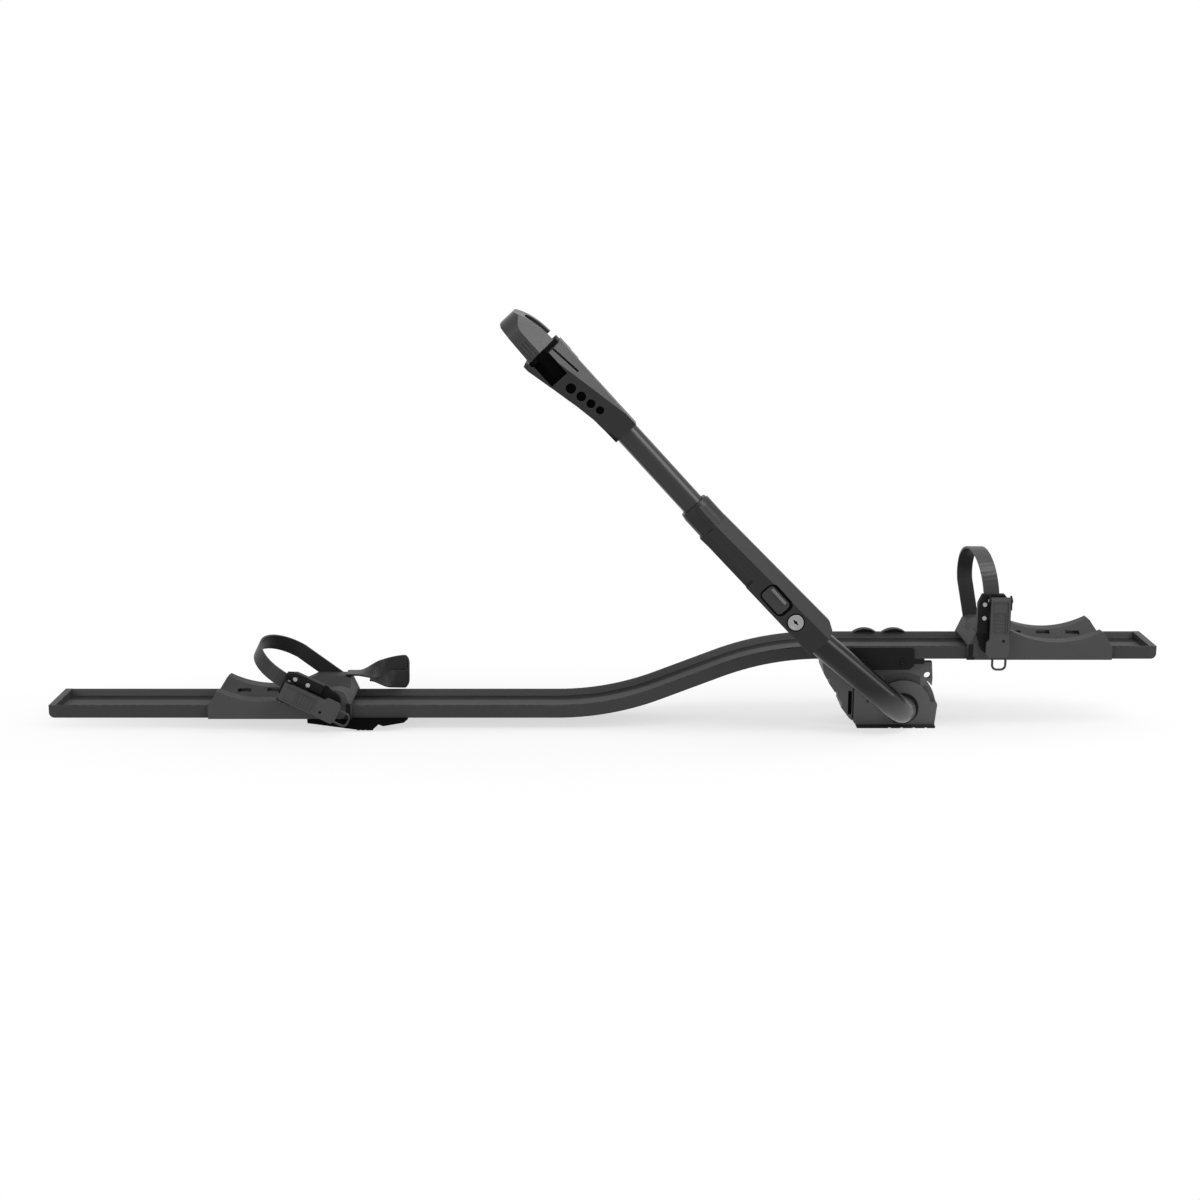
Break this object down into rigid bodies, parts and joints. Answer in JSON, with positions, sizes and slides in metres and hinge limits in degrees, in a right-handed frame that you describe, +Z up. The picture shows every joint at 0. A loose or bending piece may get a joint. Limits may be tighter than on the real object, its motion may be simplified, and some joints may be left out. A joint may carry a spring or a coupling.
{
  "type": "roof mounted bike carrier",
  "caption": "Long bent wheel rail on a pivot base with a telescopic clamp arm, two strapped wheel cradles and a rear foot, for carrying a bicycle upright on a car roof.",
  "frame": {"origin": "middle of the base's rubber seat on the front roof bar, in the rail's middle plane", "axes": "+X along the rail to the front wheel's end, +Y away from the arm's side, +Z up from the roof bar"},
  "size_m": [1.45, 0.1468, 0.5466],
  "materials": {
    "charcoal_coat": "satin powder coat",
    "housing_plastic": "fine textured",
    "cradle_plastic": "fine textured",
    "black_plastic": "moulded",
    "strap_plastic": "smooth flexible",
    "pad_rubber": "matt",
    "zinc_steel": "zinc plated",
    "lock_metal": "satin plated",
    "black_wire": "black coated"
  },
  "bodies": {
    "carrier": {"rail": "charcoal_coat", "rear_end_cap": "housing_plastic", "front_end_cap": "housing_plastic", "base_housing": "housing_plastic", "base_side_cover": "housing_plastic", "base_pad": "pad_rubber", "cover_screws": "zinc_steel", "pivot_bushes": "black_plastic", "rail_saddle": "black_plastic", "saddle_clamp": "black_plastic", "saddle_screws": "black_wire", "base_screws": "zinc_steel"},
    "arm": {"lower_tube": "charcoal_coat", "pivot_washer": "zinc_steel", "pivot_bolt": "zinc_steel", "sleeve_near": "housing_plastic", "sleeve_far": "housing_plastic", "sleeve_collar": "black_plastic", "sleeve_screws": "zinc_steel", "lock_bezel": "lock_metal", "button_spring": "zinc_steel"},
    "lock": {"lock_barrel": "lock_metal"},
    "button": {"release_button": "cradle_plastic"},
    "mast": {"upper_tube": "charcoal_coat", "head_housing": "housing_plastic", "head_pin": "zinc_steel", "inner_jaw_pad": "pad_rubber"},
    "jaw": {"outer_jaw": "housing_plastic", "jaw_rack": "black_wire", "outer_jaw_pad": "pad_rubber"},
    "rear_tray": {"rear_cradle": "cradle_plastic", "rear_pivot_pins": "zinc_steel", "rear_strap_tail": "strap_plastic"},
    "rear_loop": {"rear_strap": "strap_plastic", "rear_buckle": "black_plastic", "rear_rivets": "zinc_steel", "rear_lever_pin": "zinc_steel"},
    "rear_handle": {"rear_lever": "cradle_plastic", "rear_bail": "black_wire"},
    "front_tray": {"front_cradle": "cradle_plastic", "front_pivot_pins": "zinc_steel"},
    "front_loop": {"front_strap": "strap_plastic", "front_buckle": "black_plastic", "front_rivets": "zinc_steel", "front_lever_pin": "zinc_steel"},
    "front_handle": {"front_lever": "cradle_plastic", "front_bail": "black_wire"},
    "foot": {"rear_foot": "black_plastic", "rear_foot_pad": "pad_rubber", "rear_foot_bolt": "zinc_steel", "rear_foot_nut": "zinc_steel"}
  },
  "joints": [
    {"name": "arm_fold", "type": "hinge", "parent": "carrier", "child": "arm", "pos_m": [0.009, 0, 0.025], "axis": [0, 1, 0], "range_deg": [-34, 40]},
    {"name": "mast_slide", "type": "slide", "parent": "arm", "child": "mast", "axis": [-0.6743, 0, 0.7385], "range_m": [-0.1, 0.04]},
    {"name": "jaw_slide", "type": "slide", "parent": "mast", "child": "jaw", "axis": [-0.6743, 0, 0.7385], "range_m": [0, 0.05]},
    {"name": "button_press", "type": "slide", "parent": "arm", "child": "button", "axis": [0, 1, 0], "range_m": [0, 0.002], "stiffness_N_per_m": 1500, "deforming": ["button_spring"]},
    {"name": "lock_turn", "type": "hinge", "parent": "arm", "child": "lock", "pos_m": [-0.14031, -0.088, 0.1552], "axis": [0, 1, 0], "range_deg": [0, 90]},
    {"name": "rear_tray_slide", "type": "slide", "parent": "carrier", "child": "rear_tray", "axis": [1, 0, 0], "range_m": [-0.15, 0.1]},
    {"name": "front_tray_slide", "type": "slide", "parent": "carrier", "child": "front_tray", "axis": [1, 0, 0], "range_m": [-0.04, 0.03]},
    {"name": "rear_strap_swing", "type": "hinge", "parent": "rear_tray", "child": "rear_loop", "pos_m": [-0.744, 0, 0.0395], "axis": [0, 1, 0], "range_deg": [0, 64]},
    {"name": "front_strap_swing", "type": "hinge", "parent": "front_tray", "child": "front_loop", "pos_m": [0.117, 0, 0.1195], "axis": [0, 1, 0], "range_deg": [0, 64]},
    {"name": "rear_lever_open", "type": "hinge", "parent": "rear_loop", "child": "rear_handle", "pos_m": [-0.80029, -0.0621, 0.05639], "axis": [0.4384, 0, 0.8988], "range_deg": [-100, 0]},
    {"name": "front_lever_open", "type": "hinge", "parent": "front_loop", "child": "front_handle", "pos_m": [0.1265, -0.0621, 0.1775], "axis": [1, 0, 0], "range_deg": [-100, 0]},
    {"name": "foot_slide", "type": "slide", "parent": "carrier", "child": "foot", "axis": [1, 0, 0], "range_m": [-0.1, 0.12]}
  ]
}
